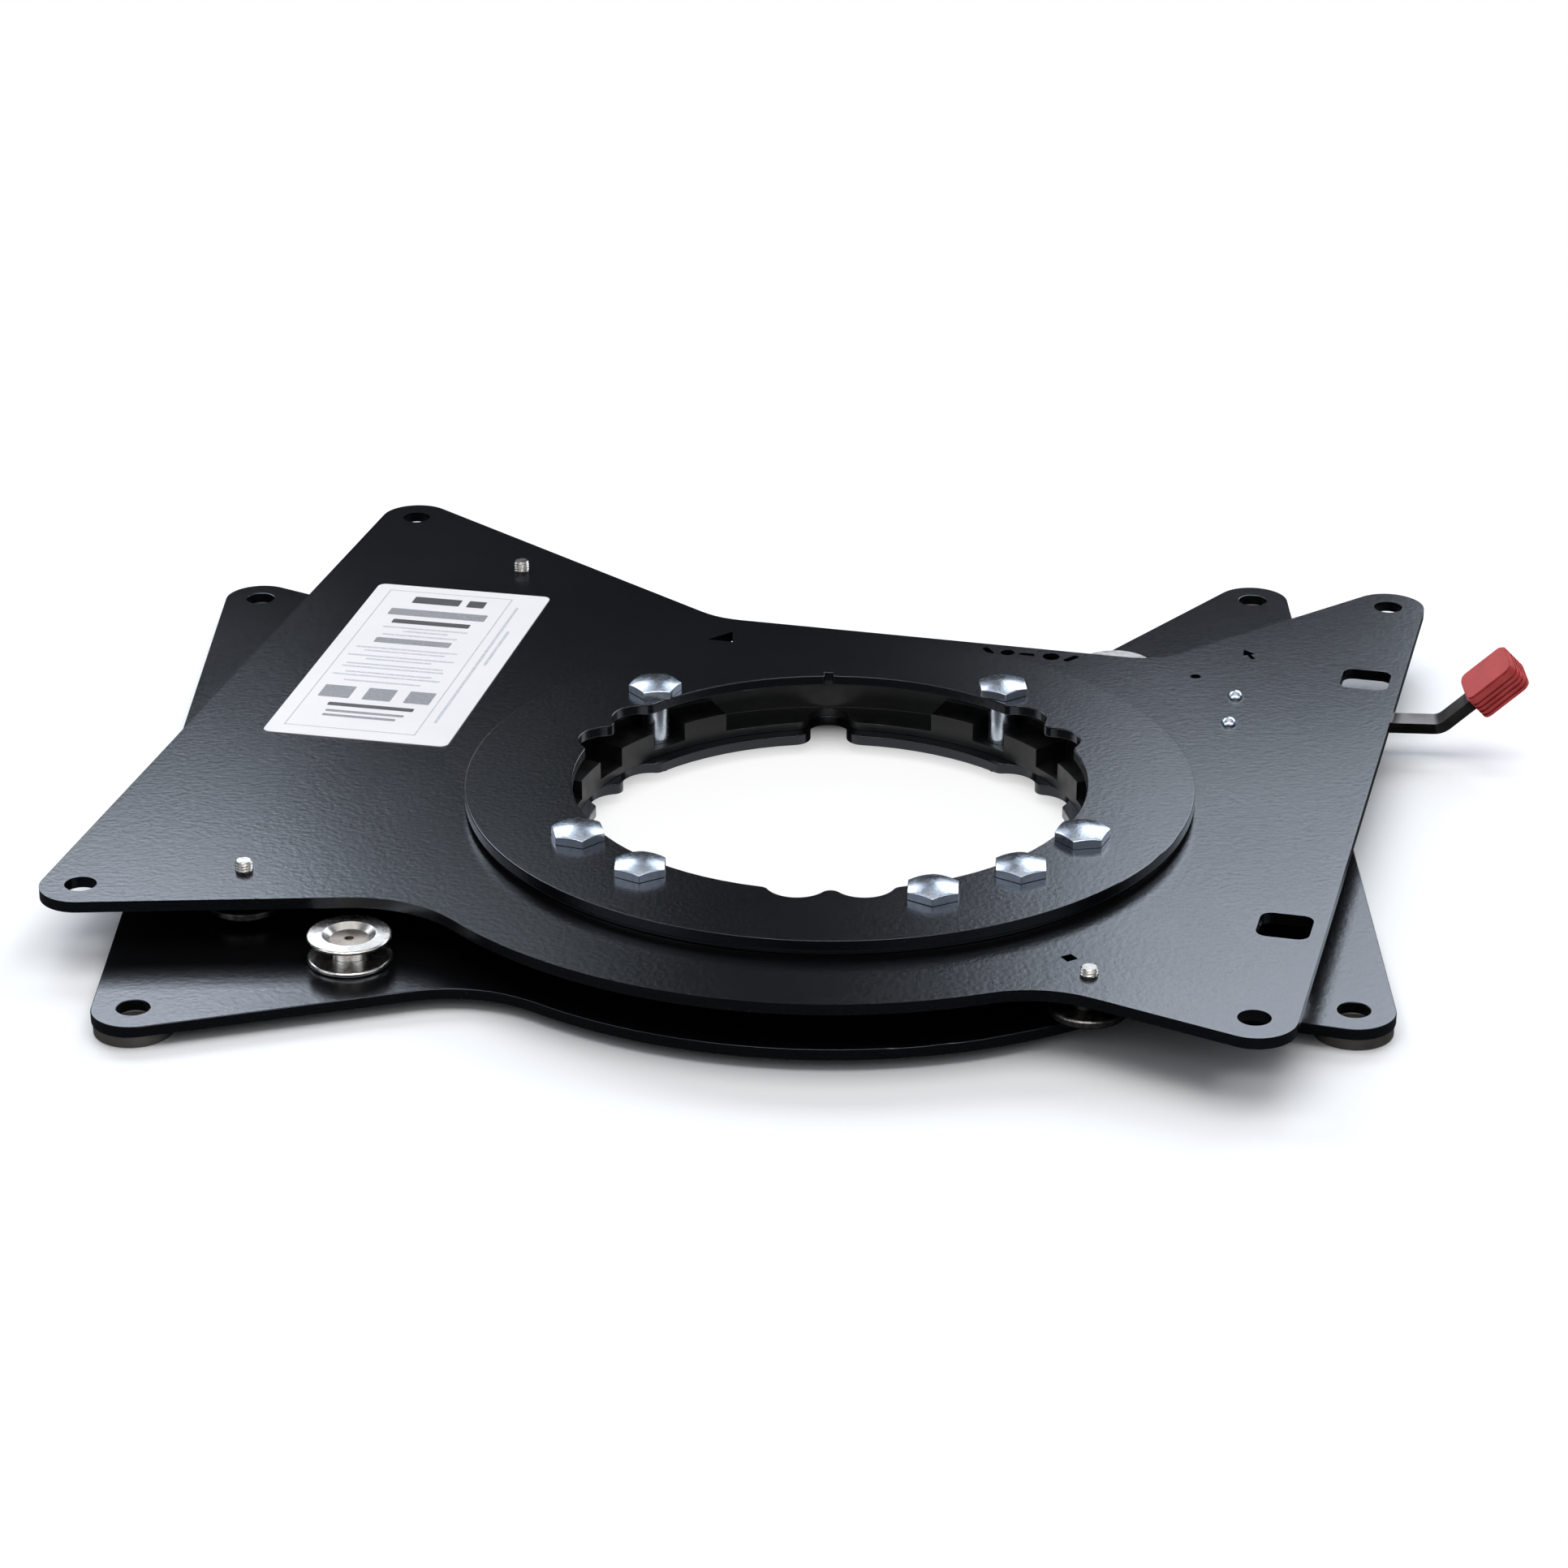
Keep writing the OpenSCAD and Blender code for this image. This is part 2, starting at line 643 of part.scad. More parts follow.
// Catch button under the upper plate, its flange level with the groove of the spools
module button(i) {
    r = button_d / 2;
    edge = 0.7;
    color(dark_steel) turned() at(button_places[i]) rotate_extrude() polygon([
        [button_bore_r + button_sink, button_z], [r - edge, button_z], [r, button_z + edge],
        [r, button_flange_top - edge], [r - edge, button_flange_top],
        [button_neck_r, button_flange_top], [button_neck_r, upper_z],
        [button_bore_r, upper_z], [button_bore_r, button_z + button_sink]
    ]);
}

// Countersunk screw from below through a button and the upper plate
module button_screw(stand) {
    r = button_screw_d / 2;
    end_z = upper_top + stand;
    point = 0.6;
    socket_depth = 2;
    difference() {
        rotate_extrude() polygon([
            [0, button_z], [button_bore_r + button_sink, button_z], [button_bore_r, button_z + button_sink],
            [r, button_z + button_sink], [r, end_z - point], [r - point, end_z], [0, end_z]
        ]);
        translate([0, 0, button_z - 1]) linear_extrude(socket_depth + 1) hexagon(button_screw_d * 0.6);
    }
}

module button_screws() {
    color(zinc) turned() for (i = [0:2]) at(button_places[i]) button_screw(screw_stands[i]);
}

module label() {
    color(paper_white) turned() at(label_at, upper_top) rotate([0, 0, label_turn])
        linear_extrude(label_t) rounded_box(label_w, label_len, 3);
}

function tenon_r() = dome_d / 2 - 0.5;

// Shouldered pin riveted into the upper plate, with a domed end above it and a flat head below the lever
module latch_pin(p) {
    head_top = lever_z - glide_play;
    dome_h = dome_d * 0.42;
    color(zinc) turned() at(p) {
        translate([0, 0, head_top - pin_head_t]) cylinder(d = pin_head_d, h = pin_head_t);
        translate([0, 0, head_top]) cylinder(d = pin_d, h = upper_z - head_top);
        translate([0, 0, upper_z]) cylinder(r = tenon_r(), h = upper_t);
        translate([0, 0, upper_top]) intersection() {
            cylinder(d = dome_d, h = dome_h);
            translate([0, 0, dome_h - dome_d / 2]) sphere(d = dome_d);
        }
    }
}

// Tube that keeps the lever down at the height of the groove
module spacer(p, z) {
    color(bare_steel) turned() at(p, z) difference() {
        cylinder(d = pin_head_d, h = upper_z - z);
        translate([0, 0, -1]) cylinder(r = pin_d / 2 + pin_play / 2, h = upper_z - z + 2);
    }
}

// Flattened wave washer that holds the lever where it is put
module wave_washer() {
    color(bare_steel) turned() at(pivot_at, washer_z) difference() {
        cylinder(d = pin_head_d, h = washer_t);
        translate([0, 0, -1]) cylinder(r = pin_d / 2 + pin_play / 2, h = washer_t + 2);
    }
}

// Bar of the lever in plan, with a mitred turn at the joint
module flat_bar() {
    half = bar_w / 2;
    lean = half * tan(arm_yaw / 2);
    side = polar(half, arm_yaw + 90);
    polygon([
        [hook_at.x, bar_joint.y - half], bar_joint + [lean, -half], bar_end - side,
        bar_end + side, bar_joint + [-lean, half], [hook_at.x, bar_joint.y + half]
    ]);
}

// Flat part of the lever: bar, boss, claw and the curved slot that limits its travel
module lever_outline() {
    slot_from = guide_angle - latch_turn;
    difference() {
        union() {
            flat_bar();
            translate(hook_at) circle(r = hook_out_r);
            translate(pivot_at) circle(r = boss_r);
            polygon([
                pivot_at - [boss_r - 1, 0], pivot_at + [boss_r - 1, 0],
                [pivot_at.x + boss_r + bar_w, bar_joint.y], [hook_at.x + hook_in_r, bar_joint.y]
            ]);
            curved_slot(pivot_at, guide_r, slot_from, guide_angle, slot_half + slot_wall);
            polygon([
                pivot_at - [boss_r - 2, 0], pivot_at + polar(guide_r, slot_from),
                pivot_at + polar(guide_r, guide_angle), pivot_at + [boss_r - 2, 0]
            ]);
        }
        translate(pivot_at) circle(r = pin_d / 2 + pin_play);
        curved_slot(pivot_at, guide_r, slot_from, guide_angle, slot_half);
        hook_mouth();
    }
}

// Room for the spool's neck inside the claw, open towards the swivel axis
module hook_mouth() {
    mouth_len = hook_out_r + 14;
    tip_end = 0.6;
    translate(hook_at) rotate(neck_path_angle) polygon(concat(
        arc([0, 0], hook_in_r, -90, 180),
        [[-tip_end, hook_in_r], [-tip_end, mouth_len], [-mouth_len, mouth_len], [-mouth_len, -hook_in_r]]
    ));
}

// Everything beyond the bend is drawn from the centre of the bend's curve
module past_bend() {
    at(bar_end, lever_top + bend_r) rotate([0, 0, arm_yaw]) children();
}

module arm_box(extra, from, len) {
    translate([from, -bar_w / 2 - extra, -bend_r - lever_t - extra])
        cube([len, bar_w + 2 * extra, lever_t + 2 * extra]);
}

module latch_lever() {
    low_r = bend_r + lever_t;
    far = polar(arm_start + tang_len, arm_rise);
    color(dark_steel) turned() {
        translate([0, 0, lever_z]) linear_extrude(lever_t) lever_outline();
        past_bend() rotate([90, 0, 0]) translate([0, 0, -bar_w / 2]) linear_extrude(bar_w) polygon(concat(
            arc([0, 0], low_r, -90, arm_rise),
            [polar(low_r, arm_rise - 90) + far, polar(bend_r, arm_rise - 90) + far],
            arc([0, 0], bend_r, arm_rise - 90, -arm_rise)
        ));
    }
}

// Moulded grip pushed over the end of the arm, with grooves round its sides
module lever_grip() {
    above_arm = 4;
    groove_pitch = grip_t / (grip_grooves + 1.5);
    groove_depth = 0.7;
    corner_r = 2.6;
    arm_middle = -bend_r - lever_t / 2;
    grip_base = lever_t / 2 + above_arm - grip_t;
    color(salmon) turned() past_bend() rotate([0, -arm_rise, 0]) difference() {
        translate([arm_start + grip_len / 2, 0, arm_middle]) rotate([grip_twist, 0, 0])
            translate([0, 0, grip_base]) {
                linear_extrude(grip_t)
                    rounded_box(grip_len - 2 * groove_depth, grip_w - 2 * groove_depth, corner_r);
                for (i = [0:grip_grooves]) translate([0, 0, i * groove_pitch])
                    linear_extrude(groove_pitch * (i < grip_grooves ? 0.55 : 1.1))
                        rounded_box(grip_len, grip_w, corner_r + groove_depth);
            }
        arm_box(pin_play / 2, 0, arm_start + tang_len + pin_play / 2);
    }
}

lower_plate();
foot(0);  // front_left_foot
foot(1);  // front_right_foot
foot(3);  // back_left_foot
foot(2);  // back_right_foot
lower_glide_ring();
upper_glide_ring();
clamp_ring();
shoulder_bolts();
flange_nuts();
spool(front_left_spool_at);  // front_left_spool
spool(back_right_spool_at);  // back_right_spool
spool_screws();
upper_plate();
button(0);  // front_left_button
button(1);  // front_right_button
button(2);  // back_left_button
button_screws();
label();
latch_pin(pivot_at);  // pivot_pin
latch_pin(guide_at);  // guide_pin
spacer(pivot_at, washer_z + washer_t);  // pivot_spacer
spacer(guide_at, lever_top + glide_play);  // guide_spacer
wave_washer();
latch_lever();
lever_grip();
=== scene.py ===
"""Looks of the swivel seat base: finishes, print, threads, studio and camera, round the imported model."""
import json
import math

import bmesh
import bpy
from mathutils import Matrix, Vector

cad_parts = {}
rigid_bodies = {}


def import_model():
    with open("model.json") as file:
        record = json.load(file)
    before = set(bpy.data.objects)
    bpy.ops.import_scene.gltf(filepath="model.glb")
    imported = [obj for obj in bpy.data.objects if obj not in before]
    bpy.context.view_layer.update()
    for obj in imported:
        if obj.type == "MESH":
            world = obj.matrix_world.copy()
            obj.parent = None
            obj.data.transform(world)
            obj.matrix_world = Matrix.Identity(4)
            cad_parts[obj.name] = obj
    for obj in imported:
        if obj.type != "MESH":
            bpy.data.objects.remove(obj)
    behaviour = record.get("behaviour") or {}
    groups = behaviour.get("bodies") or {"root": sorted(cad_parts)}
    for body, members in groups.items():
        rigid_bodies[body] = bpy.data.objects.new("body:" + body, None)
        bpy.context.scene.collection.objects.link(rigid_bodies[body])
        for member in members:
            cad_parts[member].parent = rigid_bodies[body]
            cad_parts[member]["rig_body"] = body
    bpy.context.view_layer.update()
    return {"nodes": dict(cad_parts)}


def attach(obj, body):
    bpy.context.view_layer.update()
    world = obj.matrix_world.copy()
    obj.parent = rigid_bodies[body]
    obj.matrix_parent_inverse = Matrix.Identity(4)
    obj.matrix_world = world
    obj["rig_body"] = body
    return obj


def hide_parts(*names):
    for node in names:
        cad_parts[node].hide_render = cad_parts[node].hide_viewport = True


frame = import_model()
nodes = frame["nodes"]

MM = 0.001

# As in part.scad: the turn of the upper plate, and the height of its top
REST_TURN = math.radians(-13.8)
UPPER_TOP = 24.5 * MM


# ---------------------------------------------------------------- materials

class Shader:
    """A material with a Principled shader, and short calls for the nodes that feed it."""

    def __init__(self, name, **sockets):
        self.material = bpy.data.materials.new(name)
        self.material.use_nodes = True
        self.tree = self.material.node_tree
        self.surface = self.tree.nodes["Principled BSDF"]
        for socket, value in sockets.items():
            self.surface.inputs[socket.replace("_", " ")].default_value = value
        self.place = self.add("ShaderNodeTexCoord").outputs["Object"]

    def add(self, kind, **settings):
        node = self.tree.nodes.new(kind)
        for key, value in settings.items():
            setattr(node, key, value)
        return node

    def feed(self, socket, value):
        if hasattr(value, "is_output"):
            self.tree.links.new(value, socket)
        else:
            socket.default_value = value

    def math(self, operation, a, b=0.0):
        node = self.add("ShaderNodeMath", operation=operation)
        self.feed(node.inputs[0], a)
        self.feed(node.inputs[1], b)
        return node.outputs[0]

    def noise(self, scale, detail=2.0, rough=0.5, stretch=None):
        node = self.add("ShaderNodeTexNoise")
        node.inputs["Scale"].default_value = scale
        node.inputs["Detail"].default_value = detail
        node.inputs["Roughness"].default_value = rough
        self.feed(node.inputs["Vector"], self.stretched(stretch) if stretch else self.place)
        return node.outputs["Fac"]

    def cells(self, scale):
        node = self.add("ShaderNodeTexVoronoi")
        node.inputs["Scale"].default_value = scale
        self.feed(node.inputs["Vector"], self.place)
        return node.outputs["Distance"]

    def stretched(self, scale, turn=0.0):
        node = self.add("ShaderNodeMapping", vector_type="TEXTURE")
        node.inputs["Rotation"].default_value = (0, 0, turn)
        node.inputs["Scale"].default_value = scale
        self.feed(node.inputs["Vector"], self.place)
        return node.outputs[0]

    def vector(self, operation, a, b=(0, 0, 0)):
        node = self.add("ShaderNodeVectorMath", operation=operation)
        self.feed(node.inputs[0], a)
        self.feed(node.inputs[1], b)
        return node.outputs["Value" if operation == "LENGTH" else 0]

    def from_axis(self):
        """Level vector from the nearest turning axis, which mark_axes() stores on the mesh."""
        axis = self.add("ShaderNodeAttribute", attribute_name="axis").outputs["Vector"]
        return self.vector("MULTIPLY", self.vector("SUBTRACT", self.place, axis), (1, 1, 0))

    def spread(self, value, low, high, to_low=0.0, to_high=1.0):
        node = self.add("ShaderNodeMapRange", clamp=True)
        self.feed(node.inputs["Value"], value)
        limits = {"From Min": low, "From Max": high, "To Min": to_low, "To Max": to_high}
        for name, number in limits.items():
            self.feed(node.inputs[name], number)
        return node.outputs[0]

    def mix(self, factor, a, b):
        node = self.add("ShaderNodeMix", data_type="RGBA")
        self.feed(node.inputs[0], factor)
        for socket, value in ((node.inputs[6], a), (node.inputs[7], b)):
            self.feed(socket, value if hasattr(value, "is_output") else (*value, 1.0))
        return node.outputs[2]

    def colour(self, value):
        self.feed(self.surface.inputs["Base Color"], value)

    def roughness(self, value):
        self.feed(self.surface.inputs["Roughness"], value)

    def bump(self, *layers):
        """Each layer is (height, distance in metres, strength)."""
        normal = None
        for height, distance, strength in layers:
            node = self.add("ShaderNodeBump")
            node.inputs["Distance"].default_value = distance
            node.inputs["Strength"].default_value = strength
            self.feed(node.inputs["Height"], height)
            if normal:
                self.feed(node.inputs["Normal"], normal)
            normal = node.outputs[0]
        self.feed(self.surface.inputs["Normal"], normal)


def powder_coat():
    """Black powder coat: orange peel, fine grain, a few pale specks, slow changes of gloss."""
    s = Shader("powder_coat", IOR=1.5, Specular_Tint=(0.80, 0.87, 1.0, 1.0))
    peel = s.noise(560, 2.0)
    grain = s.noise(3400, 1.0)
    cloud = s.noise(9, 3.0)
    specks = s.spread(s.cells(620), 0.05, 0.11, 1.0, 0.0)
    sparse = s.math("MULTIPLY", specks, s.spread(s.noise(330, 0.0), 0.60, 0.66))
    body = s.mix(s.spread(grain, 0.35, 0.75), (0.0015, 0.0015, 0.0017), (0.0045, 0.0047, 0.0055))
    s.colour(s.mix(s.math("MULTIPLY", sparse, 0.5), body, (0.08, 0.085, 0.10)))
    gloss = s.spread(cloud, 0.3, 0.7, 0.16, 0.20)
    s.roughness(s.math("ADD", gloss, s.spread(grain, 0.3, 0.8, 0.0, 0.05)))
    s.bump((peel, 0.00025, 0.26), (grain, 0.00008, 0.30))
    return s.material


def moulded_black():
    """Black moulded plastic with a faint flow grain."""
    s = Shader("black_plastic", IOR=1.46)
    flow = s.noise(160, 4.0, 0.6)
    grain = s.noise(2600, 1.0)
    s.colour(s.mix(s.spread(flow, 0.35, 0.7), (0.003, 0.003, 0.003), (0.008, 0.0078, 0.0075)))
    s.roughness(s.spread(flow, 0.3, 0.7, 0.30, 0.46))
    s.bump((grain, 0.0001, 0.12), (flow, 0.0003, 0.08))
    return s.material


def plated(name, dark, light, low, high, tint=None):
    """Plated steel: a mottled crystal pattern, soft stains and fine scratches."""
    s = Shader(name, Metallic=1.0)
    mottle = s.noise(420, 3.0, 0.65)
    stain = s.noise(70, 2.0)
    scratch = s.noise(500, 2.0, 0.6, stretch=(1.0, 0.06, 1.0))
    base = s.mix(s.spread(mottle, 0.32, 0.68), dark, light)
    if tint:
        base = s.mix(s.spread(stain, 0.45, 0.75, 0.0, 0.6), base, tint)
    s.colour(base)
    gloss = s.spread(mottle, 0.3, 0.7, low, high)
    s.roughness(s.math("ADD", gloss, s.spread(scratch, 0.55, 0.75, 0.0, 0.08)))
    s.bump((mottle, 0.00012, 0.16), (scratch, 0.00005, 0.15))
    return s.material


def turned(name, dark, light, low, high, pitch, depth, gloss_turn):
    """Steel turned on a lathe: fine rings round each axis on the faces across it.

    The rings are pitch millimetres apart and fade out on upright faces, where they would show as
    streaks. gloss_turn draws the highlights out along the rings.
    """
    s = Shader(name, Metallic=1.0, Anisotropic=gloss_turn)
    outward = s.from_axis()
    distance = s.vector("LENGTH", outward)
    wobble = s.noise(340, 2.0, 0.6)
    even = s.math("MULTIPLY", distance, 2 * math.pi / (pitch * MM))
    phase = s.math("ADD", even, s.math("MULTIPLY", wobble, 5.0))
    facing = s.add("ShaderNodeSeparateXYZ")
    s.feed(facing.inputs[0], s.add("ShaderNodeNewGeometry").outputs["True Normal"])
    across_axis = s.spread(s.math("ABSOLUTE", facing.outputs["Z"]), 0.3, 0.7)
    rings = s.math("MULTIPLY", s.math("SINE", phase), across_axis)
    stain = s.noise(95, 2.0)
    s.colour(s.mix(s.spread(s.math("ADD", wobble, s.math("MULTIPLY", stain, 0.8)), 0.65, 1.15), light, dark))
    s.roughness(s.spread(s.math("ADD", wobble, s.math("MULTIPLY", rings, 0.12)), 0.3, 0.75, low, high))
    s.bump((rings, depth, 0.25), (wobble, 0.00008, 0.04))
    s.feed(s.surface.inputs["Tangent"], s.vector("CROSS_PRODUCT", outward, (0, 0, 1)))
    return s.material


def sheet_steel(name, dark, light, low, high, turn=0.0, metal=1.0):
    """Bare or blued sheet steel with rolling streaks along one direction."""
    s = Shader(name, Metallic=metal)
    streak = s.add("ShaderNodeTexNoise")
    streak.inputs["Scale"].default_value = 900
    streak.inputs["Detail"].default_value = 3
    s.feed(streak.inputs["Vector"], s.stretched((8.0, 1.0, 1.0), turn=turn))
    patch = s.noise(45, 3.0, 0.6)
    s.colour(s.mix(s.spread(patch, 0.3, 0.7), dark, light))
    gloss = s.spread(patch, 0.3, 0.7, low, high)
    s.roughness(s.math("ADD", gloss, s.spread(streak.outputs["Fac"], 0.4, 0.7, 0.0, 0.10)))
    s.bump((streak.outputs["Fac"], 0.00006, 0.2))
    return s.material


def label_film():
    """Semi-gloss white film, with a hint of mottle and soft dirt."""
    s = Shader("label_film", IOR=1.45, Coat_Weight=0.15, Coat_Roughness=0.25)
    fibre = s.noise(1500, 2.0)
    haze = s.noise(26, 3.0)
    paper = s.mix(s.spread(haze, 0.35, 0.7), (0.76, 0.73, 0.73), (0.70, 0.675, 0.675))
    s.colour(s.mix(s.spread(fibre, 0.4, 0.7, 0.0, 0.25), paper, (0.66, 0.635, 0.635)))
    s.roughness(s.spread(haze, 0.3, 0.7, 0.36, 0.46))
    s.bump((fibre, 0.00004, 0.10))
    return s.material


def print_ink(name, dark, light):
    """Printed ink, thinner in places."""
    s = Shader(name)
    worn = s.noise(1300, 2.0, 0.6)
    s.colour(s.mix(s.spread(worn, 0.45, 0.75), dark, light))
    s.roughness(s.spread(worn, 0.3, 0.7, 0.40, 0.55))
    s.bump((worn, 0.00002, 0.1))
    return s.material


def red_rubber():
    """Salmon-red moulded grip: fine grain, paler where it is rubbed."""
    s = Shader("red_plastic", IOR=1.42, Subsurface_Weight=0.05, Subsurface_Scale=0.002)
    grain = s.noise(2300, 2.0, 0.6)
    rub = s.noise(120, 3.0, 0.6)
    s.colour(s.mix(s.spread(rub, 0.3, 0.75), (0.39, 0.020, 0.017), (0.52, 0.046, 0.044)))
    s.roughness(s.spread(rub, 0.3, 0.7, 0.42, 0.56))
    s.bump((grain, 0.00012, 0.25), (rub, 0.0003, 0.05))
    return s.material


def turned_place(x, y):
    """Place in the frame of a point that part.scad gives in the upper plate's own directions."""
    c, s = math.cos(REST_TURN), math.sin(REST_TURN)
    return Vector(((x * c - y * s) * MM, (x * s + y * c) * MM, 0.0))


# ---------------------------------------------------------------- rounded copies of the CAD nodes

SAME_SIDE, NEAR_SIDE = 0.8, 0.6  # least cosines between faces, and between a face and its point's normal
WELD = 3e-6
FLAT_ANGLE, SHARP_ANGLE = math.radians(0.2), math.radians(28)
BEVEL_SEGMENTS = 2


def settle_normals(mesh):
    """Shades each point by the largest faces round it, so flat faces stay flat beside rounded edges."""
    round_point = [[] for _ in mesh.vertices]
    for face in mesh.polygons:
        for point in face.vertices:
            round_point[point].append(face)
    shading = []
    for faces in round_point:
        if not faces:
            shading.append(Vector((0, 0, 1)))
            continue
        main = max(faces, key=lambda face: face.area)
        total = Vector((0, 0, 0))
        for face in faces:
            if face.normal.dot(main.normal) > SAME_SIDE:
                total += face.normal * (face.area / main.area) ** 2
        shading.append(total.normalized())
    corners = [Vector((0, 0, 0))] * len(mesh.loops)
    for face in mesh.polygons:
        for corner, point in zip(face.loop_indices, face.vertices):
            near = shading[point].dot(face.normal) > NEAR_SIDE
            corners[corner] = shading[point] if near else face.normal
    mesh.normals_split_custom_set(corners)


def softened(node, width):
    """The node's own solid with sharp edges rounded by width, in millimetres, as a piece that stands for it."""
    source = nodes[node]
    mesh = source.data.copy()
    bm = bmesh.new()
    bm.from_mesh(mesh)
    bmesh.ops.remove_doubles(bm, verts=bm.verts, dist=WELD)
    bmesh.ops.dissolve_limit(bm, angle_limit=FLAT_ANGLE, verts=bm.verts, edges=bm.edges)
    bm.to_mesh(mesh)
    bm.free()
    mesh.polygons.foreach_set("use_smooth", [True] * len(mesh.polygons))
    piece = bpy.data.objects.new(node + "_body", mesh)
    bpy.context.scene.collection.objects.link(piece)
    bevel = piece.modifiers.new("edges", "BEVEL")
    bevel.limit_method = "ANGLE"
    bevel.angle_limit = SHARP_ANGLE
    bevel.width = width * MM
    bevel.segments = BEVEL_SEGMENTS
    bevel.use_clamp_overlap = True
    graph = bpy.context.evaluated_depsgraph_get()
    baked = bpy.data.meshes.new_from_object(piece.evaluated_get(graph), depsgraph=graph)
    piece.modifiers.clear()
    piece.data = baked
    baked.materials.clear()
    settle_normals(baked)
    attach(piece, source["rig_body"])
    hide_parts(node)
    return piece


def mark_axes(piece, places):
    """Stores on every point the nearest of the given axes, for the rings of turned steel."""
    mesh = piece.data
    axis = mesh.attributes.new("axis", "FLOAT_VECTOR", "POINT")
    flat = [Vector((place[0], place[1])) for place in places]
    for point, item in zip(mesh.vertices, axis.data):
        nearest = min(flat, key=lambda place: (place - point.co.xy).length_squared)
        item.vector = (nearest.x, nearest.y, 0)


def dress(obj, material):
    """Gives the object this material and no other."""
    obj.data.materials.clear()
    obj.data.materials.append(material)


POWDER = powder_coat()
BLACK = moulded_black()
ZINC = turned("zinc_plate", (0.40, 0.44, 0.50), (0.54, 0.59, 0.67), 0.20, 0.30, 0.5, 0.00003, 0.35)
TURNED = turned("turned_steel", (0.46, 0.435, 0.405), (0.67, 0.65, 0.62), 0.18, 0.30, 0.35, 0.00002, 0.5)
SOCKET = turned("socket_screw", (0.20, 0.165, 0.140), (0.40, 0.345, 0.300), 0.24, 0.38, 0.5, 0.00002, 0.4)
STUD = plated("stud_steel", (0.26, 0.245, 0.230), (0.48, 0.455, 0.430), 0.22, 0.34)
COPPER = plated("copper_tone", (0.20, 0.12, 0.08), (0.42, 0.27, 0.19), 0.32, 0.50, (0.30, 0.24, 0.20))
BARE = sheet_steel("bare_steel", (0.080, 0.074, 0.066), (0.155, 0.145, 0.130), 0.34, 0.50, metal=0.55)
BAR = sheet_steel("lever_steel", (0.06, 0.052, 0.050), (0.16, 0.15, 0.145), 0.30, 0.45, REST_TURN)
DARK = plated("dark_steel", (0.085, 0.078, 0.072), (0.20, 0.185, 0.170), 0.28, 0.42)
FILM = label_film()
RED = red_rubber()

# Upright axes of the turned pieces, as in part.scad
BOLT_RING = 100 * MM
BOLTS = [(BOLT_RING * math.cos(math.radians(a)), BOLT_RING * math.sin(math.radians(a)))
         for a in (50, 130, 210, 230, 290, 310, 330)]
SPOOLS = [(-160.9 * MM, -98.7 * MM), (110.3 * MM, 132.3 * MM)]
PINS = [turned_place(126.7, 119.5), turned_place(128.1, 94.5)]
BUTTONS = [turned_place(-179, -109.2), turned_place(114.8, -116), turned_place(-169.3, 176.6)]

# For each slot its material, the width of its rounded edges in millimetres, and its nodes
FINISH = {
    "powder_coat": (POWDER, 0.5, ["lower_plate", "upper_plate", "clamp_ring"]),
    "black_plastic": (BLACK, 0.25, ["lower_glide_ring", "upper_glide_ring"]),
    "zinc_plate": (ZINC, 0.25, ["shoulder_bolts", "pivot_pin", "guide_pin"]),
    "turned_steel": (TURNED, 0.2, ["front_left_spool", "back_right_spool"]),
    "copper_tone": (COPPER, 0.2, ["flange_nuts"]),
    "dark_steel": (DARK, 0.3, ["front_left_button", "front_right_button", "back_left_button"]),
    "bare_steel": (BARE, 0.3, ["front_left_foot", "front_right_foot", "back_left_foot", "back_right_foot",
                               "pivot_spacer", "guide_spacer", "wave_washer"]),
    "lever_steel": (BAR, 0.35, ["latch_lever"]),
    "red_plastic": (RED, 0.45, ["lever_grip"]),
}
AXES = {
    "shoulder_bolts": BOLTS, "spool_screws": SPOOLS, "front_left_spool": SPOOLS, "back_right_spool": SPOOLS,
    "pivot_pin": PINS, "guide_pin": PINS,
}
for slot, (material, width, names) in FINISH.items():
    for name in names:
        piece = softened(name, width)
        dress(piece, material)
        if name in AXES:
            mark_axes(piece, AXES[name])

spool_screws = softened("spool_screws", 0.2)
dress(spool_screws, SOCKET)
mark_axes(spool_screws, SPOOLS)

dress(nodes["label"], FILM)


# ---------------------------------------------------------------- threaded screws of the catch buttons

def lathe(bm, place, rings, steps):
    """Closed skin over rings of points round an upright axis.

    A ring is its height, and a function that gives its radius at an angle.
    """
    angles = [2 * math.pi * i / steps for i in range(steps)]
    loops = []
    for z, radius in rings:
        spots = [(place.x + radius(a) * math.cos(a), place.y + radius(a) * math.sin(a), z) for a in angles]
        loops.append([bm.verts.new(spot) for spot in spots])
    for low, high in zip(loops, loops[1:]):
        for i in range(steps):
            bm.faces.new((low[i - 1], low[i], high[i], high[i - 1]))
    bm.faces.new(loops[0])
    bm.faces.new(loops[-1])


def round_ring(radius):
    """A circle of this radius."""
    return lambda angle: radius


def hex_ring(across):
    """A hexagon of this width across its flats."""
    return lambda angle: across / 2 / math.cos((angle + math.pi / 6) % (math.pi / 3) - math.pi / 6)


def thread_ring(z, crest, depth, pitch, limit):
    """Radius of a single-start thread at one height."""
    def radius(angle):
        phase = (z / pitch - angle / (2 * math.pi)) % 1.0
        rise = min(1.0, max(0.0, 1.25 * abs(2 * phase - 1) - 0.1))
        return min(limit, crest - depth * (1 - rise))
    return radius


